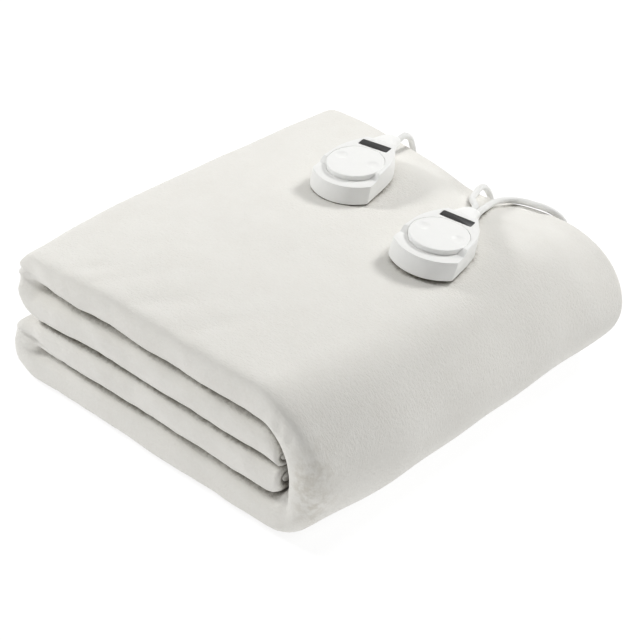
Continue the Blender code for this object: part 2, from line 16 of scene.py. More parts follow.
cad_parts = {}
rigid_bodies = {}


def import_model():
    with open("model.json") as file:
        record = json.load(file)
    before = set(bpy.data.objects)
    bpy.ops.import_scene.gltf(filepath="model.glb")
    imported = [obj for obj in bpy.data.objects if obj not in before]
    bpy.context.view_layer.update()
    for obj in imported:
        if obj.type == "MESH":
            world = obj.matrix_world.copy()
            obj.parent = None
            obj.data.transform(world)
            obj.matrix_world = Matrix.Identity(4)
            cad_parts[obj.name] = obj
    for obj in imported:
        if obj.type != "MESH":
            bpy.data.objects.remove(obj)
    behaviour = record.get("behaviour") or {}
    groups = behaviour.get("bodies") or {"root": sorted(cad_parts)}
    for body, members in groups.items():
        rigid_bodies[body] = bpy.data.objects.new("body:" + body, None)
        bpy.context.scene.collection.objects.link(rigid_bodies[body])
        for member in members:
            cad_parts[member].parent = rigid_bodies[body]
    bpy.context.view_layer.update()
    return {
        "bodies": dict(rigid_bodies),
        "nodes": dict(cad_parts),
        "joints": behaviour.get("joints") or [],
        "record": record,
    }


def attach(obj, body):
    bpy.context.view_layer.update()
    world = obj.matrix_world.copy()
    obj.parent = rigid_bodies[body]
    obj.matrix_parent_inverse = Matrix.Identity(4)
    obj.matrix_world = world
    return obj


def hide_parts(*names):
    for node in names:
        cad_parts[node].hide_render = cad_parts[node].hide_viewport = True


# ---------------------------------------------------------------- camera
VIEW_AZIMUTH = 43.383  # degrees, 0 looks along +Y
VIEW_ELEVATION = 33.3
VIEW_DISTANCE = 1.4426
VIEW_TARGET = (-0.0500, 0.0569, 0.0)
LENS_MM = 84.375
SENSOR_MM = 36.0
CLIP_NEAR = 0.05
CLIP_FAR = 50.0

# ---------------------------------------------------------------- cloth, folded as in the part
CLOTH = 0.0082  # thickness
LAYER_PITCH = 0.0090  # from layer to layer in a pad
PAD_PITCH = 0.0372  # from pad to pad
PAD_SLACK = PAD_PITCH / 2 - 1.5 * LAYER_PITCH - CLOTH / 2
BUNDLE = 4 * PAD_PITCH - 2 * PAD_SLACK
SPINE_X = 0.125  # axis of the big fold
SMALL_FOLD_X = -0.150  # axes of the two small folds
INNER_REACH = 0.030  # a little further into the big fold than in the part
INNER_SHARES = (0.2, 0.4, 0.6, 0.8, 1.0)  # of that reach, where stations stand
INNER_ROUND = 1.02  # the inner ends are rounded by this many pad pitches
FOLD_END_Y = -0.178
HEM_FOLD_Y = 0.187
OUTER_HEM = 0.007
INNER_HEM = 0.003
HEM_ROUND = 0.93  # 1 would close the hem to a sharp edge

SHOWN_STEP = 0.0046  # between stations on runs that show
HIDDEN_STEP = 0.0110  # and on runs inside the bundle
DEEP_RUN_STEPS = 10  # stations of a run deep inside a pad
BIG_TURN_STEPS = 34
SMALL_TURN_STEPS = 16
END_TURN_STEPS = 14
TIGHT_TURN_STEPS = 8
HEM_ROUND_STEPS = 4

# ---------------------------------------------------------------- cloth, settled as in the part
NEAR_LEFT_HEIGHT = 0.145
NEAR_SPINE_HEIGHT = 0.138
FAR_LEFT_HEIGHT = 0.142
FAR_SPINE_HEIGHT = 0.133
PAST_SIDES = 0.3  # the slope goes on past the folds by this share of the run
PAST_ENDS = 0.1
CROWN = 0.007  # rise in the middle
CORNER_DROP = 0.012  # the left near corner sinks
CORNER_SPREAD = 0.070
HEM_DROP_LEFT = 0.001  # the hems sink, less at the left
HEM_DROP = 0.010
HEM_DROP_START = 0.1
HEM_DROP_RUN = 0.4
HEM_SPREAD = 0.037
HEM_DIP = 0.009  # and most where the cords go over them
HEM_DIP_X = 0.036
HEM_DIP_SPREAD = 0.046
HEM_DRAW = 0.005
BLUNT = 0.38  # flattening of the small folds
LOWER_REACH = 0.020  # the lower small fold stands out further
LOWER_TOP = 1.2
LOWER_SPREAD = 0.060
SHOULDER = 0.005
SPINE_TUCK = 0.013  # the big fold narrows at its near end, less at its foot
SPINE_TUCK_START = 0.02
SPINE_TUCK_SPREAD = 0.060
FOOT_TUCK = 0.5
FOOT_SPREAD = 0.030
# Each crease between pads: its share of the height, and its rise at the left and at the spine.
CREASES = ((0.25, 0.024, 0.007), (0.50, 0.001, 0.010), (0.75, 0.003, -0.009))
CREASE_REACH = 0.25

# ---------------------------------------------------------------- cloth, what the part leaves out
END_POWER = 3.0  # 2 leaves the fold ends round, more presses them flatter

# Slow wanders: the axis that moves, amount, size of the lumps, start of the noise.
END_WANDERS = ((1, 0.0016, (0.045, 0.08, 0.020), 3.1), (1, 0.0007, (0.012, 0.05, 0.012), 8.7))
END_WANDER_SPREAD = 0.05
LAYER_WANDERS = ((2, 0.0010, (0.070, 0.070, 0.035), 5.3), (0, 0.0010, (0.060, 0.060, 0.040), 7.9))
LAYER_WANDER_Z = 0.02  # they fade out below this height

# Troughs and swells in millimetres: centre, half sizes, turn of the sizes about Z, push.
DENTS = (
    # the upper crease at -Y, open in two places
    ((-118, -192, 107), (34, 18, 7), 0, (0, 9.0, -0.6)),
    ((-92, -194, 117), (20, 14, 8), 0, (0, -1.2, -1.6)),
    ((-45, -192, 106), (24, 17, 5.5), 0, (0, 7.5, -0.4)),
    ((-8, -194, 112), (18, 14, 7), 0, (0, -0.8, -1.2)),
    ((30, -192, 103), (26, 16, 4), 0, (0, 4.0, 0)),
    ((72, -194, 108), (20, 14, 7), 0, (0, -0.8, 1.0)),
    ((104, -190, 102), (24, 16, 4.5), 0, (0, 4.5, 0)),
    # the middle crease
    ((-70, -192, 72), (34, 16, 3.5), 0, (0, 3.5, 0)),
    ((50, -192, 71), (40, 16, 3), 0, (0, 2.5, 0)),
    # the lower crease, deepest towards the spine
    ((-60, -192, 39), (36, 16, 3.5), 0, (0, 3.0, 0)),
    ((55, -192, 37), (40, 16, 5), 0, (0, 5.0, 0)),
    ((122, -190, 37), (22, 16, 5), 0, (0, 4.5, 0)),
    # left near corner: a short crease, and a wedge down to the upper crease
    ((-170, -188, 117), (24, 18, 3.2), 0, (3.0, 5.5, 0)),
    ((-156, -192, 105), (24, 18, 7), 0, (1.5, 8.5, 0)),
    ((-150, -193, 128), (14, 14, 6), 0, (0.5, 2.2, -1.0)),
    # lower bulge: two short creases and small wrinkles beside them
    ((-166, -190, 46), (24, 16, 3.6), 0, (1.6, 6.5, 0)),
    ((-148, -193, 33), (17, 16, 3.4), 0, (0, 7.0, 0)),
    ((-166, -188, 60), (9, 14, 10), 0, (2.2, 3.2, 0)),
    ((-184, -176, 38), (9, 12, 9), 0, (2.8, 2.2, 0)),
    ((-150, -191, 24), (5, 12, 5), 0, (0, 3.0, 0)),
    # near corner: one small upright crease, faint wrinkles and flattened patches
    ((149, -190, 45), (3.4, 14, 13), 0, (0, 4.8, 0)),
    ((157, -193, 108), (3.6, 12, 8), 0, (-0.8, 2.6, 0)),
    ((146, -193, 112), (3.6, 12, 8), 0, (-0.6, 2.4, 0)),
    ((169, -187, 92), (6, 12, 7), 0, (-2.4, 2.4, 0)),
    ((178, -184, 76), (5, 12, 7), 0, (-2.2, 2.0, 0)),
    ((173, -186, 60), (5, 12, 8), 0, (-2.4, 2.2, 0)),
    ((178, -182, 44), (5, 12, 7), 0, (-2.0, 2.0, 0)),
    # soft drags in the top, fanning out from the upper crease
    ((-95, -172, 142), (34, 7, 26), 38, (0, 0, -1.3)),
    ((-60, -165, 144), (40, 8, 26), 52, (0, 0, -1.2)),
    ((-12, -168, 144), (38, 8, 26), 46, (0, 0, -1.4)),
    ((45, -160, 143), (44, 9, 26), 58, (0, 0, -1.1)),
    ((-120, -90, 144), (60, 16, 30), 30, (0, 0, -1.2)),
    ((0, -60, 146), (80, 22, 30), 24, (0, 0, -1.0)),
    ((-130, 60, 143), (60, 18, 30), -20, (0, 0, -1.2)),
    # the spine's face: broad soft troughs
    ((190, -70, 75), (14, 26, 40), 0, (-1.6, 0, 0)),
    ((192, 40, 95), (14, 34, 22), 0, (-1.4, 0, 0)),
    ((188, 120, 55), (14, 30, 30), 0, (-1.5, 0, 0)),
    # the cloth swells up to the rears of the controllers
    ((-38, 140, 140), (32, 36, 60), 10, (0, 0, 4.6)),
    ((83, 105, 137), (28, 34, 60), 11, (0, 0, 3.0)),
)

# ---------------------------------------------------------------- controllers as in the part, but finer
CASE_HALF_FRONT = 0.031
CASE_FRONT_Y = -0.0467
CASE_CORNER_Y = -0.0325
CASE_SIDE = (
    (0.0305, -0.014),
    (0.0300, -0.002),
    (0.0284, 0.012),
    (0.0242, 0.024),
    (0.0187, 0.034),
    (0.0150, 0.0405),
)
CASE_FRONT_POINTS = 41
CASE_SIDE_STEP = 0.0025
CASE_HEIGHT = 0.0204
CASE_ROUND = 0.0016
CASE_ROUND_POINTS = 5
FRONT_SLOPE = 0.36
LEAN_REAR_Y = -0.010
LEAN_REACH = 0.020
LEDGE_Z = 0.0158
LEDGE_REAR = ((-0.0165, 0.0158), (-0.0090, 0.0216))
LEDGE_EDGE = 0.0010  # rounding of the ledge's edges
LEDGE_EDGE_ANGLE = 25
FINE_EDGE = 0.00025  # and of the seat's and the pocket's
FINE_EDGE_ANGLE = 60
SHARP_ANGLE = 50  # edges sharper than this aren't shaded smooth
DIAL_Y = -0.0038
SEAT_Z = 0.0095
SEAT_RADIUS = 0.0267
SEAT_STEPS = 128
GAP = 0.0003
DIAL_RADIUS = 0.02655  # its play in the seat is finer here than in the part
DIAL_FOOT_RADIUS = 0.0262
DIAL_CORE_RADIUS = 0.0060
DIAL_CHAMFER = 0.0004
DIAL_TOP = 0.0206
DIAL_ROUND = 0.0011
DIAL_ROUND_POINTS = 7
DIAL_TOP_POINTS = 40
DIAL_STEPS = 160
SCOOP_X = 0.0165
SCOOP_Y = 0.0023
SCOOP_RADIUS = 0.0062
SCOOP_DEPTH = 0.0013
LABEL_HALF = 0.0153
LABEL_FRONT_Y = 0.0240
LABEL_REAR_Y = 0.0334
LABEL_POCKET = 0.0008
LABEL_THICK = 0.0006
LABEL_EDGE = 0.0002
LABEL_SQUARENESS = 0.16
LABEL_STEPS = 40
BOOT_SECTIONS = (  # y, half width, underside and top
    (0.0408, 0.0146, 0.0008, 0.0196),
    (0.0440, 0.0126, 0.0012, 0.0198),
    (0.0480, 0.0104, 0.0020, 0.0196),
    (0.0530, 0.0088, 0.0030, 0.0188),
    (0.0580, 0.0080, 0.0040, 0.0173),
    (0.0620, 0.0073, 0.0048, 0.0152),
    (0.0640, 0.0067, 0.0054, 0.0136),
)
BOOT_SQUARENESS = 0.65
BOOT_SPACING = 0.0008
BOOT_STEPS = 48
OUTLET_X = 0.0034
OUTLET_Z = 0.0094
CONTROLLERS = {  # place, turn, tilt about X and tilt about Y
    "right": ((0.0971, 0.0471, 0.1402), 11.6, -3.0, 6.0),
    "left": ((-0.0300, 0.0855, 0.1496), 9.8, 2.8, 2.6),
}

# ---------------------------------------------------------------- cords as in the part
CORD_DIAMETER = 0.0060
CORD_STRAIGHT = 0.010  # run straight out of the boot
RIGHT_LEAD_SPACING = 0.0052
LEFT_LEAD_SPACING = 0.0040
MAINS_SPACING = 0.0080
RIGHT_LEAD_ROUTE = (  # routes in millimetres
    (80, 134, 141.5),
    (74, 151, 136.5),
    (69, 168, 130.5),
    (68.5, 181, 126.2),
    (74, 189, 124.7),
    (83, 192, 125.2),
    (93, 192.5, 126),
    (103, 193.5, 126.3),
    (112, 197, 123),
    (118, 202.5, 115),
    (119.5, 204.5, 106.5),
    (118, 202, 98.5),
    (116, 198.3, 95),
)
LEFT_LEAD_ROUTE = (
    (-42.5, 168.5, 158.6),
    (-48, 178.5, 152),
    (-54, 188.5, 144),
    (-59.5, 197, 134.5),
    (-62.5, 203, 125),
    (-63.5, 205.5, 115),
    (-63.5, 203, 106),
    (-63.5, 198.3, 101.5),
)
MAINS_ROUTE = (
    (65, 135, 142),
    (54, 149, 136),
    (44, 166, 129.5),
    (36, 181, 125.2),
    (32.5, 191, 122.6),
    (31, 199, 118.2),
    (31, 205, 110.5),
    (31.5, 209, 100),
    (32.5, 210, 85),
    (33, 210, 62),
    (31, 212, 39),
    (27, 219, 20),
    (25.5, 230, 11.5),
    (25, 240.5, 9.2),
)
TAIL_ROUTE = (
    (-45.5, 310, 3.1),
    (-62, 307.5, 3.3),
    (-78, 300, 4.8),
    (-89, 288, 6.8),
    (-90, 275.1, 7),
)
COIL_CENTRE = (-0.020, 0.2655)
COIL_OUTER = 0.045  # middle of the outermost turn
COIL_INNER = 0.027
COIL_TOP_Z = 0.0092
COIL_LOW_Z = 0.0031
COIL_TURNS = 3  # in each of its two layers
COIL_STEPS = 16  # points in a turn
CURVE_STEPS = 20  # fine steps between two points of a route

# ---------------------------------------------------------------- colours and light
NAP_PLAIN = (0.78, 0.76, 0.71)
NAP_DARK = (0.770, 0.752, 0.704)
NAP_LIGHT = (0.800, 0.786, 0.742)
NAP_FLECK = (0.83, 0.82, 0.78)
# colour of the painted shade on the near corner of the big fold
CORNER_SHADE_PAINT = (0.56, 0.525, 0.45)
FOLD_SHADE_PAINT = (0.13, 0.105, 0.07)  # painted shade, deep between the folds
CORNER_SHADE_CENTRE = (0.172, -0.188, 0.066)  # painted shade lies on the near corner round here
CORNER_SHADE_SIZE = (0.020, 0.030, 0.048)
CLOSED_REACH = 0.012  # painted shade darkens cloth nearer than this to other cloth
RAGGED = 0.16  # unevenness of that darkening
SHELL_WHITE = (0.87, 0.87, 0.85)
DIAL_WHITE = (0.90, 0.90, 0.88)
PLATE_BLACK = (0.03, 0.03, 0.03)
BOOT_WHITE = (0.91, 0.91, 0.89)
CORD_WHITE = (0.80, 0.80, 0.78)
PIN_GREY = (0.78, 0.77, 0.74)
WHITE = (1.0, 1.0, 1.0, 1.0)
FLOOR_GREY = (0.18, 0.18, 0.18)
FLOOR_GLOW = 0.87
FLOOR_RADIUS = 9.0
BACKDROP_GLOW = 1.05
BACKDROP_RADIUS = 8.5
WORLD_GLOW = 0.42
LIGHT_TARGET = (0, 0, 0.1)
LIGHT_SIZE = 0.42
LIGHTS = (  # name, direction, distance and power
    ("key_light", (0.22, 0.70, 0.67), 1.9, 19.5),
    ("fill_light", (-0.72, -0.34, 0.62), 2.0, 18.5),
)


# ---------------------------------------------------------------- folding the sheet
def spaced_run(start, stop, steps):
    """Evenly spaced places from start to stop, both ends with them."""
    return np.linspace(start, stop, steps + 1)


def graded_run(start, stop, steps):
    """Places from start to stop that lie closer together at both ends."""
    share = np.linspace(0, math.pi, steps + 1)
    return start + (stop - start) * (1 - np.cos(share)) / 2


def turn_angles(begin, end, steps):
    """Angles inside a round fold, without its two ends, in radians."""
    return np.radians(np.linspace(begin, end, steps + 1)[1:-1])


def flat_stations(places, level, facing):
    """Stations on a flat run, with the values that turn_stations gives."""
    return [(place, level, 0.0, facing, 1.0) for place in places]


def turn_stations(centre, level, radius, begin, end, steps, side=1.0):
    """Stations inside a round fold: place, level, the two parts of the outer normal, thickness."""
    stations = []
    for angle in turn_angles(begin, end, steps):
        across, up = math.cos(angle), math.sin(angle)
        stations.append((centre + radius * across, level + radius * up, side * across, side * up, 1.0))
    return stations


def hem_stations(reach, level, facing):
    """The hem past its fold's axis, rounded off towards the edge. Goes inwards from the edge."""
    stations = []
    for share in np.linspace(1, 0, HEM_ROUND_STEPS + 1)[:-1]:
        thickness = math.sqrt(1 - (HEM_ROUND * share) ** 2)
        stations.append((HEM_FOLD_Y + reach * math.sqrt(share), level, 0.0, facing, thickness))
    return stations


def pad_stations():
    """The sheet through one pad, seen along X: four layers from hem to hem."""
    pitch = LAYER_PITCH
    shown = round((HEM_FOLD_Y - FOLD_END_Y) / SHOWN_STEP)
    outer = spaced_run(HEM_FOLD_Y, FOLD_END_Y, shown)
    inner = graded_run(FOLD_END_Y, HEM_FOLD_Y, 2 * DEEP_RUN_STEPS)
    deep = graded_run(FOLD_END_Y, HEM_FOLD_Y, DEEP_RUN_STEPS)
    stations = hem_stations(OUTER_HEM, 1.5 * pitch, 1.0)
    stations += flat_stations(outer, 1.5 * pitch, 1.0)
    stations += turn_stations(FOLD_END_Y, 0.0, 1.5 * pitch, 90, 270, END_TURN_STEPS)
    stations += flat_stations(inner, -1.5 * pitch, -1.0)
    stations += turn_stations(HEM_FOLD_Y, -pitch, 0.5 * pitch, -90, 90, TIGHT_TURN_STEPS)
    stations += flat_stations(deep[::-1], -0.5 * pitch, 1.0)
    stations += turn_stations(FOLD_END_Y, 0.0, 0.5 * pitch, 270, 90, TIGHT_TURN_STEPS, side=-1.0)
    stations += flat_stations(deep, 0.5 * pitch, -1.0)
    stations += hem_stations(INNER_HEM, 0.5 * pitch, -1.0)[::-1]
    return np.array(stations)


def inner_end(share):
    """Reach of an inner pad past the spine's axis, and the squeeze of its thickness there."""
    reach = share * INNER_REACH
    return reach, math.sqrt(1.0 - (reach / (INNER_ROUND * PAD_PITCH)) ** 2)


def bundle_stations():
    """The pad through the bundle, seen along Y. The last value squeezes the pad's thickness."""
    pitch = PAD_PITCH
    upper = []
    lower = []
    for share in INNER_SHARES:
        reach, squeeze = inner_end(share)
        upper.insert(0, (SPINE_X + reach, (2 + 0.5 * squeeze) * pitch, 0.0, -1.0, squeeze))
        lower.append((SPINE_X + reach, (2 - 0.5 * squeeze) * pitch, 0.0, 1.0, squeeze))
    shown = round((SPINE_X - SMALL_FOLD_X) / SHOWN_STEP)
    hidden = round((SPINE_X - SMALL_FOLD_X) / HIDDEN_STEP)
    inward = spaced_run(SPINE_X, SMALL_FOLD_X, shown)
    middle = flat_stations(inward, 2.5 * pitch, -1.0)
    middle += turn_stations(SMALL_FOLD_X, 3 * pitch, 0.5 * pitch, 270, 90, SMALL_TURN_STEPS)
    middle += flat_stations(inward[::-1], 3.5 * pitch, 1.0)
    middle += turn_stations(SPINE_X, 2 * pitch, 1.5 * pitch, 90, -90, BIG_TURN_STEPS)
    middle += flat_stations(spaced_run(SPINE_X, SMALL_FOLD_X, hidden), 0.5 * pitch, -1.0)
    middle += turn_stations(SMALL_FOLD_X, pitch, 0.5 * pitch, -90, -270, SMALL_TURN_STEPS)
    middle += flat_stations(inward[::-1], 1.5 * pitch, 1.0)
    return np.array(upper + middle + lower)


def fold(side):
    """Points of one face of the folded sheet, as a grid of X and Y stations."""
    across = bundle_stations()
    along = pad_stations()
    offset = side * CLOTH / 2 * along[:, 4]
    y = along[:, 0] + offset * along[:, 2]
    level = along[:, 1] + offset * along[:, 3]
    depth = across[:, 4, None] * level[None, :]
    x = across[:, 0, None] + across[:, 2, None] * depth
    z = across[:, 1, None] + across[:, 3, None] * depth - PAD_SLACK
    return np.stack([x, np.broadcast_to(y, x.shape), z], axis=2)


# ---------------------------------------------------------------- settling the bundle
def fade(distance, spread):
    """1 at and before zero distance, falling smoothly to nothing over a few spreads."""
    return np.exp(-((np.maximum(distance, 0.0) / spread) ** 2))


def ramp(value):
    """From 0 to 1 with soft ends."""
    value = np.clip(value, 0.0, 1.0)
    return value * value * (3.0 - 2.0 * value)


def hem_dip(x):
    """Share of the dip in the hems under the cords."""
    return np.exp(-(((x - HEM_DIP_X) / HEM_DIP_SPREAD) ** 2))


def share_across(x):
    """0 at the small folds' axes and 1 at the spine's."""
    return np.clip((x - SMALL_FOLD_X) / (SPINE_X - SMALL_FOLD_X), -PAST_SIDES, 1 + PAST_SIDES)


def share_along(y, past):
    """0 at the fold ends' axis and 1 at the hems'."""
    return np.clip((y - FOLD_END_Y) / (HEM_FOLD_Y - FOLD_END_Y), -past, 1 + past)


def height(x, y):
    """Height of the settled bundle."""
    a = share_across(x)
    b = share_along(y, PAST_ENDS)
    near = NEAR_LEFT_HEIGHT * (1 - a) + NEAR_SPINE_HEIGHT * a
    far = FAR_LEFT_HEIGHT * (1 - a) + FAR_SPINE_HEIGHT * a
    high = near * (1 - b) + far * b
    high += CROWN * np.clip(1 - (2 * a - 1) ** 2, 0, 1) * np.clip(1 - (2 * b - 1) ** 4, 0, 1)
    corner = (x - SMALL_FOLD_X + PAD_PITCH) ** 2 + (y - FOLD_END_Y + 2 * LAYER_PITCH) ** 2
    high -= CORNER_DROP * np.exp(-corner / CORNER_SPREAD**2)
    drop = HEM_DROP_LEFT + (HEM_DROP - HEM_DROP_LEFT) * ramp((a - HEM_DROP_START) / HEM_DROP_RUN)
    high -= (drop + HEM_DIP * hem_dip(x)) * fade(HEM_FOLD_Y - y, HEM_SPREAD)
    return high


def settle(points):
    """The neat bundle with its real slumps and bulges. Points on the floor stay on it."""
    x, y, z = points[..., 0], points[..., 1], points[..., 2]
    past = np.maximum(SMALL_FOLD_X - x, 0.0)
    at_small_folds = fade(x - SMALL_FOLD_X + PAD_PITCH, LOWER_SPREAD)
    x = x + BLUNT * past**2 / (2 * PAD_PITCH)
    x = x - LOWER_REACH * np.clip(LOWER_TOP - z / (2 * PAD_PITCH), 0.0, 1.0) * at_small_folds
    shoulder = np.sin(math.pi * np.clip(z / PAD_PITCH, 1.0, 2.0)) ** 2
    x = x - SHOULDER * shoulder * at_small_folds
    tuck = SPINE_TUCK * fade(y - FOLD_END_Y + 2 * LAYER_PITCH, SPINE_TUCK_SPREAD)
    tuck = tuck * (1 - FOOT_TUCK * fade(z, FOOT_SPREAD))
    x = x - tuck * ramp((x - SPINE_X + SPINE_TUCK_START) / (2 * PAD_PITCH))
    a = share_across(x)
    b = share_along(y, 0.0)
    share = z / BUNDLE
    shifted = share.copy()
    for crease, left, right in CREASES:
        offset = np.clip(np.abs(share - crease) / CREASE_REACH, 0.0, 1.0)
        shifted += (1 - b) * (left * (1 - a) + right * a) * np.cos(offset * math.pi / 2) ** 2
    settled_y = y - HEM_DRAW * hem_dip(x) * share * fade(HEM_FOLD_Y - y, HEM_SPREAD)
    return np.stack([x, settled_y, height(x, y) * shifted], axis=-1)


def middle_of(points):
    """Middle of the bundle's box in X and Y."""
    low = points.reshape(-1, 3).min(axis=0)
    high = points.reshape(-1, 3).max(axis=0)
    return np.array([(low[0] + high[0]) / 2, (low[1] + high[1]) / 2, 0.0])


# ---------------------------------------------------------------- unevenness of the cloth
def soft_noise(points, size, start):
    """Smooth noise from about -1 to 1, whose lumps are as large as size."""
    places = points.reshape(-1, 3) / np.array(size) + start
    values = np.array([noise.noise(Vector(place)) for place in places])
    return values.reshape(points.shape[:-1])


def blunt_ends(points):
    """Presses the rounded fold ends at -Y flatter, so that the creases between them are tight."""
    moved = points.copy()
    radius = 1.5 * LAYER_PITCH + CLOTH / 2
    past = np.clip((FOLD_END_Y - points[..., 1]) / radius, 0.0, 1.0)
    pressed = (1 - (1 - past**2) ** (END_POWER / 2)) ** (1 / END_POWER)
    moved[..., 1] -= radius * (pressed - past)
    return moved


def add_dents(points):
    """The listed troughs and swells, each as soft as its own sizes."""
    moved = points.copy()
    for centre, sizes, turned, push in DENTS:
        away = points - np.array(centre) / 1000
        cosine, sine = math.cos(math.radians(turned)), math.sin(math.radians(turned))
        along = away[..., 0] * cosine + away[..., 1] * sine
        beside = away[..., 1] * cosine - away[..., 0] * sine
        scaled = np.stack([along, beside, away[..., 2]], axis=-1) / (np.array(sizes) / 1000)
        share = np.exp(-(scaled**2).sum(axis=-1))
        moved += share[..., None] * np.array(push) / 1000
    return moved


def uneven(points):
    """Slow wanders of the fold ends and of the layers, the same for all that lies close together."""
    moved = add_dents(points)
    near_end = fade(points[..., 1] - FOLD_END_Y, END_WANDER_SPREAD)
    lifted = np.clip(points[..., 2] / LAYER_WANDER_Z, 0.0, 1.0)
    for share, wanders in ((near_end, END_WANDERS), (lifted, LAYER_WANDERS)):
        for axis, amount, size, start in wanders:
            moved[..., axis] += amount * share * soft_noise(points, size, start)
    return moved


# ---------------------------------------------------------------- shapes
def link(name, data):
    """A new object in the scene."""
    made = bpy.data.objects.new(name, data)
    bpy.context.scene.collection.objects.link(made)
    return made


def add_mesh(name, points, faces, look, smooth_angle=None):
    """A closed mesh as an object, shaded smooth but for edges sharper than an angle in degrees."""
    mesh = bpy.data.meshes.new(name)
    corners = [list(map(int, face)) for face in faces]
    mesh.from_pydata(np.asarray(points, dtype=float).tolist(), [], corners)
    shape = bmesh.new()
    shape.from_mesh(mesh)
    bmesh.ops.recalc_face_normals(shape, faces=shape.faces[:])
    shape.to_mesh(mesh)
    shape.free()
    mesh.materials.append(look)
    mesh.shade_smooth()
    if smooth_angle:
        mesh.set_sharp_from_angle(angle=math.radians(smooth_angle))
    return link(name, mesh)


def finished(made):
    """The object with its modifiers made real."""
    bpy.context.view_layer.update()
    evaluated = made.evaluated_get(bpy.context.evaluated_depsgraph_get())
    mesh = bpy.data.meshes.new_from_object(evaluated)
    made.modifiers.clear()
    made.data = mesh
    return made


def add_loft(name, loops, look, smooth_angle=None, ring=False):
    """A solid through loops of equally many points: capped at both ends, or closed as a ring."""
    count = len(loops[0])
    points = [point for loop in loops for point in loop]
    faces = []
    for row in range(len(loops) if ring else len(loops) - 1):
        low = row * count
        high = (row + 1) % len(loops) * count
        for step in range(count):
            after = (step + 1) % count
            faces.append([low + step, low + after, high + after, high + step])
    if not ring:
        faces.append(list(range(count)))
        faces.append([len(points) - count + step for step in range(count)])
    return add_mesh(name, points, faces, look, smooth_angle)


def circle(radius, z, steps):
    """A round loop about the Z axis."""
    angles = [2 * math.pi * step / steps for step in range(steps)]
    return [(radius * math.cos(angle), radius * math.sin(angle), z) for angle in angles]


def section(half_width, half_height, squareness, steps):
    """A rounded rectangle about its middle, as a loop of two coordinates."""
    loop = []
    for step in range(steps):
        angle = 2 * math.pi * step / steps
        across, up = math.cos(angle), math.sin(angle)
        wide = math.copysign(abs(across) ** squareness, across)
        tall = math.copysign(abs(up) ** squareness, up)
        loop.append((half_width * wide, half_height * tall))
    return loop


def inset(outline, distance):
    """A counterclockwise outline moved inwards by a distance."""
    points = np.array(outline)
    before = points - np.roll(points, 1, axis=0)
    after = np.roll(points, -1, axis=0) - points
    before /= np.linalg.norm(before, axis=1)[:, None]
    after /= np.linalg.norm(after, axis=1)[:, None]
    along = before + after
    along /= np.linalg.norm(along, axis=1)[:, None]
    stretch = 1 / (along * after).sum(axis=1)
    inward = np.stack([-along[:, 1], along[:, 0]], axis=1)
    return points + distance * stretch[:, None] * inward


def smooth(route, spacing):
    """Evenly spaced points on a smooth curve through the route's points."""
    route = np.array(route, dtype=float)
    ends = [2 * route[0] - route[1], *route, 2 * route[-1] - route[-2]]
    fine = []
    for before, start, stop, after in zip(ends, ends[1:], ends[2:], ends[3:]):
        for share in np.linspace(0, 1, CURVE_STEPS, endpoint=False):
            linear = stop - before
            cubic = 3 * start - before - 3 * stop + after
            bend = 2 * before - 5 * start + 4 * stop - after
            fine.append(start + 0.5 * (linear * share + bend * share**2 + cubic * share**3))
    fine.append(route[-1])
    fine = np.array(fine)
    run = np.concatenate([[0], np.cumsum(np.linalg.norm(np.diff(fine, axis=0), axis=1))])
    places = np.linspace(0, run[-1], max(2, round(run[-1] / spacing) + 1))
    return np.stack([np.interp(places, run, fine[:, axis]) for axis in range(fine.shape[1])], axis=1)


def cut(piece, cutter):
    """Takes the cutter away from the piece for good."""
    modifier = piece.modifiers.new("cut", "BOOLEAN")
    modifier.operation = "DIFFERENCE"
    modifier.object = cutter
    finished(piece)
    bpy.data.objects.remove(cutter)


# ---------------------------------------------------------------- blanket
def sheet_faces(rows, columns):
    """Quads of a closed sheet: two sides of rows by columns points, and the rim between them."""
    number = np.arange(2 * rows * columns).reshape(2, rows, columns)
    faces = []
    for grid in number:
        around = (grid[:-1, :-1], grid[1:, :-1], grid[1:, 1:], grid[:-1, 1:])
        faces.append(np.stack(around, axis=-1).reshape(-1, 4))
    faces[1] = faces[1][:, ::-1]
    rim = [(row, 0) for row in range(rows - 1)]
    rim += [(rows - 1, column) for column in range(columns - 1)]
    rim += [(row, columns - 1) for row in range(rows - 1, 0, -1)]
    rim += [(0, column) for column in range(columns - 1, 0, -1)]
    edge = []
    for here, after in zip(rim, rim[1:] + rim[:1]):
        upper = [number[0][after], number[0][here]]
        lower = [number[1][here], number[1][after]]
        edge.append(upper + lower)
    return np.concatenate([*faces, np.array(edge)])


def add_blanket(look):
    """The folded sheet as one closed mesh: folded, settled, then made uneven."""
    sides = settle(blunt_ends(np.stack([fold(1), fold(-1)])))
    sides -= middle_of(sides)
    sides = uneven(sides)
    rows, columns = sides.shape[1:3]
    return add_mesh("folded_blanket", sides.reshape(-1, 3), sheet_faces(rows, columns), look)


# ---------------------------------------------------------------- controllers
def controller_frame(side):
    """From a controller's own frame to the part's."""
    place, *turns = CONTROLLERS[side]
    about_z, about_x, about_y = [
        Matrix.Rotation(math.radians(turn), 4, axis) for turn, axis in zip(turns, "ZXY")
    ]
    return Matrix.Translation(place) @ (about_y @ about_x) @ about_z


def case_outline():
    """Round front between two corners, and sides that narrow to the neck."""
    rise = CASE_CORNER_Y - CASE_FRONT_Y
    radius = (CASE_HALF_FRONT**2 + rise**2) / (2 * rise)
    reach = math.asin(CASE_HALF_FRONT / radius)
    front = [
        (radius * math.sin(angle), CASE_FRONT_Y + radius - radius * math.cos(angle))
        for angle in np.linspace(-reach, reach, CASE_FRONT_POINTS)
    ]
    right = smooth(((CASE_HALF_FRONT, CASE_CORNER_Y), *CASE_SIDE), CASE_SIDE_STEP)[1:]
    left = [(-x, y) for x, y in right[::-1]]
    return front + [tuple(point) for point in right] + left


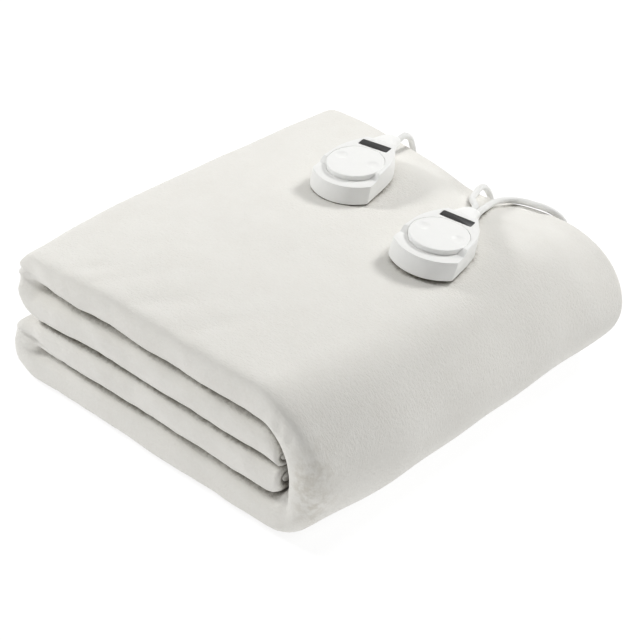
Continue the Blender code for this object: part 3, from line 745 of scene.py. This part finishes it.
def leaned(outline, z):
    """The outline at a height, as the front wall leans back."""
    loop = []
    for x, y in outline:
        share = min(max((LEAN_REAR_Y - y) / LEAN_REACH, 0.0), 1.0)
        loop.append((x, y + FRONT_SLOPE * z * share, z))
    return loop


def round_edges(piece, width, angle):
    """Rounds the edges of a piece that are sharper than an angle in degrees."""
    bevel = piece.modifiers.new("edges", "BEVEL")
    bevel.width = width
    bevel.segments = 4
    bevel.limit_method = "ANGLE"
    bevel.angle_limit = math.radians(angle)
    finished(piece)


def label_loop(grow, z):
    """The label's outline, grown by a distance, at a height."""
    middle = (LABEL_FRONT_Y + LABEL_REAR_Y) / 2
    half = (LABEL_REAR_Y - LABEL_FRONT_Y) / 2 + grow
    loop = section(LABEL_HALF + grow, half, LABEL_SQUARENESS, LABEL_STEPS)
    return [(x, middle + y, z) for x, y in loop]


def add_case(side, look):
    """The housing: its front ledge, the dial's seat and the label's pocket are cut out of it."""
    outline = case_outline()
    lower = []
    upper = []
    for share in np.linspace(0, 1, CASE_ROUND_POINTS):
        angle = share * math.pi / 2
        edge = inset(outline, CASE_ROUND * (1 - math.sin(angle)))
        rise = CASE_ROUND * (1 - math.cos(angle))
        lower.append(leaned(edge, rise))
        upper.insert(0, leaned(edge, CASE_HEIGHT - rise))
    case = add_loft("shell_" + side, lower + upper, look)
    far, above = 2 * CASE_FRONT_Y, 2 * CASE_HEIGHT
    profile = ((far, LEDGE_Z), *LEDGE_REAR, (LEDGE_REAR[1][0], above), (far, above))
    ends = (-2 * CASE_HALF_FRONT, 2 * CASE_HALF_FRONT)
    cut(case, add_loft("ledge", [[(x, y, z) for y, z in profile] for x in ends], look))
    round_edges(case, LEDGE_EDGE, LEDGE_EDGE_ANGLE)
    seat = [circle(SEAT_RADIUS, z, SEAT_STEPS) for z in (SEAT_Z, above)]
    seat = [[(x, y + DIAL_Y, z) for x, y, z in loop] for loop in seat]
    cut(case, add_loft("seat", seat, look))
    pocket = [label_loop(GAP, z) for z in (CASE_HEIGHT - LABEL_POCKET, above)]
    cut(case, add_loft("pocket", pocket, look))
    round_edges(case, FINE_EDGE, FINE_EDGE_ANGLE)
    case.data.shade_smooth()
    case.data.set_sharp_from_angle(angle=math.radians(SHARP_ANGLE))
    return case


def scoop(x, y):
    """Depth of the two shallow finger dents."""
    depth = 0.0
    for middle in (SCOOP_X, -SCOOP_X):
        share = math.hypot(x - middle, y - SCOOP_Y) / SCOOP_RADIUS
        depth += SCOOP_DEPTH * max(0.0, 1 - share**2)
    return depth


def add_dial(side, look):
    """The heat dial with two finger dents."""
    foot = SEAT_Z + GAP
    profile = [(DIAL_CORE_RADIUS, foot), (0.5 * DIAL_FOOT_RADIUS, foot)]
    profile += [(DIAL_FOOT_RADIUS - DIAL_CHAMFER, foot), (DIAL_FOOT_RADIUS, foot + DIAL_CHAMFER)]
    for share in np.linspace(0, 1, DIAL_ROUND_POINTS):
        angle = share * math.pi / 2
        radius = DIAL_RADIUS - DIAL_ROUND * (1 - math.cos(angle))
        profile.append((radius, DIAL_TOP - DIAL_ROUND * (1 - math.sin(angle))))
    rim = profile[-1][0]
    profile += [(rim * share, DIAL_TOP) for share in np.linspace(1, 0, DIAL_TOP_POINTS)[1:-1]]
    loops = []
    for radius, z in profile:
        loop = circle(radius, z, DIAL_STEPS)
        if z == DIAL_TOP:
            loop = [(x, y, z - scoop(x, y)) for x, y, _ in loop]
        loops.append([(x, y + DIAL_Y, z) for x, y, z in loop])
    return add_loft("heat_dial_" + side, loops, look, SHARP_ANGLE)


def add_label(side, look):
    """The plain black plate behind the dial."""
    base = CASE_HEIGHT - LABEL_POCKET + GAP
    levels = ((0.0, base), (0.0, base + 0.7 * LABEL_THICK), (-LABEL_EDGE, base + LABEL_THICK))
    return add_loft("plate_" + side, [label_loop(grow, z) for grow, z in levels], look, SHARP_ANGLE)


def add_boot(side, look):
    """The tapered strain relief behind the case."""
    loops = []
    for y, half_width, low, high in smooth(BOOT_SECTIONS, BOOT_SPACING):
        loop = section(half_width, (high - low) / 2, BOOT_SQUARENESS, BOOT_STEPS)
        loops.append([(x, y, (low + high) / 2 + z) for x, z in loop])
    return add_loft("relief_" + side, loops, look, SHARP_ANGLE)


def add_controllers(looks):
    """Both controllers, each piece in place of its node. The dials turn on bodies of their own."""
    for side in CONTROLLERS:
        frame = controller_frame(side)
        made = {
            "case": (add_case(side, looks["shell"]), "base", "white_shell"),
            "boot": (add_boot(side, looks["boot"]), "base", "white_boot"),
            "dial": (add_dial(side, looks["dial"]), "knob_" + side, "white_dial"),
            "label": (add_label(side, looks["plate"]), "base", "black_plate"),
        }
        for node, (piece, body, slot) in made.items():
            piece.data.transform(frame)
            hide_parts(f"{node}_{side}")
            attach(piece, body)


# ---------------------------------------------------------------- cords
def in_metres(route):
    """A route's points, which are in millimetres, in metres."""
    return [[value / 1000 for value in point] for point in route]


def from_outlet(side, outlet, route):
    """A route in metres that starts straight out of one of the boot's two outlets."""
    frame = controller_frame(side)
    start = BOOT_SECTIONS[-1][0] + 2 * GAP
    leaving = [frame @ Vector((outlet * OUTLET_X, start + run, OUTLET_Z)) for run in (0, CORD_STRAIGHT)]
    return [list(point) for point in leaving] + in_metres(route)


def coil_points():
    """The wound length: in along the top layer, down in the middle, out along the lower one."""
    points = []  # turns so far, radius, height
    for step in range(COIL_TURNS * COIL_STEPS + 1):
        turned = step / COIL_STEPS
        radius = COIL_OUTER + (COIL_INNER - COIL_OUTER) * turned / COIL_TURNS
        points.append((turned, radius, COIL_TOP_Z))
    quarter = COIL_STEPS // 4
    for step in range(1, quarter + 1):
        share = step / quarter
        drop = COIL_TOP_Z + (COIL_LOW_Z - COIL_TOP_Z) * float(ramp(share))
        points.append((COIL_TURNS + 0.25 * share, COIL_INNER, drop))
    for step in range(1, COIL_TURNS * COIL_STEPS + 1):
        turned = step / COIL_STEPS
        radius = COIL_INNER + (COIL_OUTER - COIL_INNER) * turned / COIL_TURNS
        points.append((COIL_TURNS + 0.25 + turned, radius, COIL_LOW_Z))
    route = []
    for turned, radius, z in points:
        angle = 2 * math.pi * turned
        x = COIL_CENTRE[0] + radius * math.cos(angle)
        y = COIL_CENTRE[1] + radius * math.sin(angle)
        route.append((x, y, z))
    return route


def add_cord(name, points, look):
    """A round cord along a smooth curve through its points. Returns it with its length."""
    curve = bpy.data.curves.new(name, "CURVE")
    curve.dimensions = "3D"
    curve.bevel_depth = CORD_DIAMETER / 2
    curve.bevel_resolution = 6
    curve.resolution_u = 5
    curve.use_fill_caps = True
    curve.materials.append(look)
    spline = curve.splines.new("BEZIER")
    spline.bezier_points.add(len(points) - 1)
    for target, point in zip(spline.bezier_points, points):
        target.co = point
        target.handle_left_type = "AUTO"
        target.handle_right_type = "AUTO"
    made = link(name, curve)
    length = sum((Vector(b) - Vector(a)).length for a, b in zip(points, points[1:]))
    return made, length


def add_cords(look):
    """The two leads into the folds, and the mains lead with its coil and tail up to the plug."""
    right = smooth(from_outlet("right", 1, RIGHT_LEAD_ROUTE), RIGHT_LEAD_SPACING)
    left = smooth(from_outlet("left", 1, LEFT_LEAD_ROUTE), LEFT_LEAD_SPACING)
    for name, points, node in (("cord_right", right, "lead_right"), ("cord_left", left, "lead_left")):
        cord, length = add_cord(name, points, look)
        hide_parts(node)
        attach(cord, "base")
    mains = smooth(from_outlet("right", -1, MAINS_ROUTE), MAINS_SPACING)
    coil = coil_points()
    tail = smooth([coil[-1], *in_metres(TAIL_ROUTE)], MAINS_SPACING)
    points = [tuple(point) for point in (*mains, *coil[1:], *tail[1:])]
    cord, length = add_cord("cord_mains", points, look)
    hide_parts("mains_lead", "mains_coil", "mains_tail")
    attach(cord, "base")


# ---------------------------------------------------------------- materials
def new_material(name, colour, roughness, metallic=0.0):
    """A material with its node tree and shader."""
    made = bpy.data.materials.new(name)
    made.use_nodes = True
    shader = made.node_tree.nodes["Principled BSDF"]
    shader.inputs["Base Color"].default_value = (*colour, 1.0)
    shader.inputs["Roughness"].default_value = roughness
    shader.inputs["Metallic"].default_value = metallic
    return made, made.node_tree, shader


def add_node(tree, kind, **values):
    """A shader node with its inputs and settings."""
    node = tree.nodes.new(kind)
    for key, value in values.items():
        if key in node.inputs:
            node.inputs[key].default_value = value
        else:
            setattr(node, key, value)
    return node


def noise_at(tree, scale, detail=3.0, roughness=0.55):
    """Noise in the part's own frame. Scale is one number, or three for stretched noise, per metre."""
    place = add_node(tree, "ShaderNodeTexCoord")
    stretch = add_node(tree, "ShaderNodeMapping")
    stretch.inputs["Scale"].default_value = scale if isinstance(scale, tuple) else (scale,) * 3
    tree.links.new(place.outputs["Object"], stretch.inputs["Vector"])
    texture = add_node(tree, "ShaderNodeTexNoise", Scale=1.0, Detail=detail, Roughness=roughness)
    tree.links.new(stretch.outputs["Vector"], texture.inputs["Vector"])
    return texture.outputs["Fac"]


def band(tree, factor, low, high, start=0.0, stop=1.0):
    """A value that goes from start to stop as a factor goes from low to high."""
    made = add_node(tree, "ShaderNodeMapRange")
    made.inputs["From Min"].default_value = low
    made.inputs["From Max"].default_value = high
    made.inputs["To Min"].default_value = start
    made.inputs["To Max"].default_value = stop
    tree.links.new(factor, made.inputs["Value"])
    return made.outputs["Result"]


def combine(tree, operation, first, second):
    """Two values joined by an operation."""
    made = add_node(tree, "ShaderNodeMath", operation=operation)
    tree.links.new(first, made.inputs[0])
    tree.links.new(second, made.inputs[1])
    return made.outputs["Value"]


def mix_colours(tree, share, second):
    """A colour mix towards a second colour. Returns the socket of its first colour, and its result."""
    mix = add_node(tree, "ShaderNodeMix", data_type="RGBA")
    tree.links.new(share, mix.inputs["Factor"])
    first, last = [socket for socket in mix.inputs if socket.type == "RGBA"]
    last.default_value = (*second, 1.0)
    return first, next(socket for socket in mix.outputs if socket.type == "RGBA")


def blend(tree, share, before, colour):
    """A colour that replaces the one before it by a share."""
    first, result = mix_colours(tree, share, colour)
    tree.links.new(before, first)
    return result


def tone(tree, factor, low, high, dark, light):
    """Colour between dark and light as a factor goes from low to high."""
    first, result = mix_colours(tree, band(tree, factor, low, high), light)
    first.default_value = (*dark, 1.0)
    return result


def bump(tree, height, strength, distance, before=None):
    """A normal with small relief, on top of another one if that is given."""
    made = add_node(tree, "ShaderNodeBump", Strength=strength, Distance=distance)
    tree.links.new(height, made.inputs["Height"])
    if before:
        tree.links.new(before, made.inputs["Normal"])
    return made.outputs["Normal"]


def painted_corner_shade(tree):
    """Share of painted shade on the near corner of the big fold, as darker, greyer cloudy spots."""
    place = add_node(tree, "ShaderNodeTexCoord")
    around = add_node(tree, "ShaderNodeMapping", vector_type="TEXTURE")
    around.inputs["Location"].default_value = CORNER_SHADE_CENTRE
    around.inputs["Scale"].default_value = CORNER_SHADE_SIZE
    tree.links.new(place.outputs["Object"], around.inputs["Vector"])
    ball = add_node(tree, "ShaderNodeTexGradient", gradient_type="SPHERICAL")
    tree.links.new(around.outputs["Vector"], ball.inputs["Vector"])
    spots = band(tree, noise_at(tree, 130.0, 4.0, 0.6), 0.42, 0.62)
    return combine(tree, "MULTIPLY", spots, band(tree, ball.outputs["Fac"], 0.0, 0.6, 0.0, 0.55))


def between_folds(tree):
    """Share of shade deep between the folds, with a ragged edge of nap."""
    closed = add_node(tree, "ShaderNodeAmbientOcclusion", samples=8, Distance=CLOSED_REACH)
    tufts = band(tree, noise_at(tree, 190.0, 4.0, 0.7), 0.3, 0.7, -RAGGED, RAGGED)
    return band(tree, combine(tree, "ADD", closed.outputs["AO"], tufts), 0.12, 0.62, 1.0, 0.0)


def fleece_material():
    """Short raised nap: matt, softly mottled, with fine fibres brushed across the folds, and painted
    shade between the folds and on the near corner.
    """
    made, tree, shader = new_material("fleece", NAP_PLAIN, 1.0)
    shader.inputs["Sheen Weight"].default_value = 0.25
    shader.inputs["Sheen Roughness"].default_value = 0.6
    shader.inputs["Specular IOR Level"].default_value = 0.15
    mottle = noise_at(tree, 38.0, 5.0, 0.65)
    nap = tone(tree, mottle, 0.3, 0.7, NAP_DARK, NAP_LIGHT)
    flecks = noise_at(tree, (420.0, 1500.0, 420.0), 2.0)
    colour = blend(tree, band(tree, flecks, 0.35, 0.65, 0.0, 0.35), nap, NAP_FLECK)
    # painted shade: darker, browner spots on the near corner of the big fold
    colour = blend(tree, painted_corner_shade(tree), colour, CORNER_SHADE_PAINT)
    # painted shade: the cloth turns near-black where it closes in on other cloth between the folds
    colour = blend(tree, between_folds(tree), colour, FOLD_SHADE_PAINT)
    tree.links.new(colour, shader.inputs["Base Color"])
    fibres = noise_at(tree, (260.0, 850.0, 260.0), 4.0, 0.65)
    tufts = noise_at(tree, 420.0, 3.0, 0.6)
    normal = bump(tree, fibres, 0.50, 0.0012)
    normal = bump(tree, tufts, 0.40, 0.0010, normal)
    tree.links.new(normal, shader.inputs["Normal"])
    return made


def plastic_material(name, colour, roughness, grain):
    """Moulded plastic: a fine grain, and slightly uneven gloss from handling."""
    made, tree, shader = new_material(name, colour, roughness)
    wear = band(tree, noise_at(tree, 90.0, 3.0), 0.3, 0.7, roughness - 0.05, roughness + 0.06)
    tree.links.new(wear, shader.inputs["Roughness"])
    shade = tone(tree, noise_at(tree, 140.0, 2.0), 0.3, 0.7, tuple(0.985 * c for c in colour), colour)
    tree.links.new(shade, shader.inputs["Base Color"])
    texture = noise_at(tree, 2600.0, 2.0)
    tree.links.new(bump(tree, texture, grain, 0.00012), shader.inputs["Normal"])
    return made


def metal_material():
    """Plated metal of the pins, with fine scratches along them."""
    made, tree, shader = new_material("plated_metal", PIN_GREY, 0.22, 1.0)
    scratches = noise_at(tree, (2200.0, 120.0, 2200.0), 3.0)
    tree.links.new(bump(tree, scratches, 0.25, 0.00008), shader.inputs["Normal"])
    return made


# ---------------------------------------------------------------- stage
def glowing_material(name, colour, roughness, glow):
    """A plain material that gives off white light."""
    made, _, shader = new_material(name, colour, roughness)
    shader.inputs["Emission Color"].default_value = WHITE
    shader.inputs["Emission Strength"].default_value = glow
    return made


def add_stage():
    """A pale floor, a round wall that only the camera sees, and even light from all round."""
    pale = glowing_material("pale_floor", FLOOR_GREY, 0.9, FLOOR_GLOW)
    floor = add_loft("floor", [circle(FLOOR_RADIUS, z, 64) for z in (-0.05, -0.0004)], pale)
    bright = glowing_material("backdrop", (0.0, 0.0, 0.0), 1.0, BACKDROP_GLOW)
    wall = add_loft("backdrop", [circle(BACKDROP_RADIUS, z, 64) for z in (-0.02, 9.0)], bright)
    for kind in ("visible_diffuse", "visible_glossy", "visible_transmission", "visible_shadow"):
        setattr(wall, kind, False)
    world = bpy.data.worlds.new("studio")
    world.use_nodes = True
    background = world.node_tree.nodes["Background"]
    background.inputs["Color"].default_value = WHITE
    background.inputs["Strength"].default_value = WORLD_GLOW
    bpy.context.scene.world = world


def add_softbox(name, direction, distance, power):
    """A square light that looks at the bundle's middle from a direction."""
    light = bpy.data.lights.new(name, "AREA")
    light.size = LIGHT_SIZE
    light.energy = power
    made = link(name, light)
    towards = Vector(direction).normalized()
    made.location = Vector(LIGHT_TARGET) + distance * towards
    made.rotation_mode = "QUATERNION"
    made.rotation_quaternion = towards.to_track_quat("Z", "Y")


def add_camera():
    """The camera, placed by its angles, its target and its distance from it."""
    camera = bpy.data.cameras.new("camera")
    camera.lens = LENS_MM
    camera.sensor_width = SENSOR_MM
    camera.clip_start = CLIP_NEAR
    camera.clip_end = CLIP_FAR
    made = link("camera", camera)
    azimuth, elevation = math.radians(VIEW_AZIMUTH), math.radians(VIEW_ELEVATION)
    level = math.cos(elevation)
    back = Vector((math.sin(azimuth) * level, -math.cos(azimuth) * level, math.sin(elevation)))
    made.location = Vector(VIEW_TARGET) + VIEW_DISTANCE * back
    made.rotation_mode = "QUATERNION"
    made.rotation_quaternion = (-back).to_track_quat("-Z", "Y")
    bpy.context.scene.camera = made


def main():
    """Loads the part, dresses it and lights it."""
    for old in list(bpy.data.objects):
        bpy.data.objects.remove(old)
    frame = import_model()
    bpy.context.scene.view_settings.view_transform = "Standard"
    add_camera()
    looks = {
        "fleece": fleece_material(),
        "shell": plastic_material("shell_plastic", SHELL_WHITE, 0.40, 0.25),
        "dial": plastic_material("dial_plastic", DIAL_WHITE, 0.36, 0.2),
        "plate": plastic_material("plate_plastic", PLATE_BLACK, 0.45, 0.3),
        "boot": plastic_material("boot_plastic", BOOT_WHITE, 0.48, 0.3),
        "cord": plastic_material("cord_plastic", CORD_WHITE, 0.50, 0.3),
        "metal": metal_material(),
    }
    add_cords(looks["cord"])
    blanket = add_blanket(looks["fleece"])
    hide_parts("blanket")
    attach(blanket, "base")
    add_controllers(looks)
    for node, look in (("plug", "boot"), ("plug_pin_a", "metal"), ("plug_pin_b", "metal")):
        frame["nodes"][node].data.materials[0] = looks[look]
    add_stage()
    for light in LIGHTS:
        add_softbox(*light)


main()
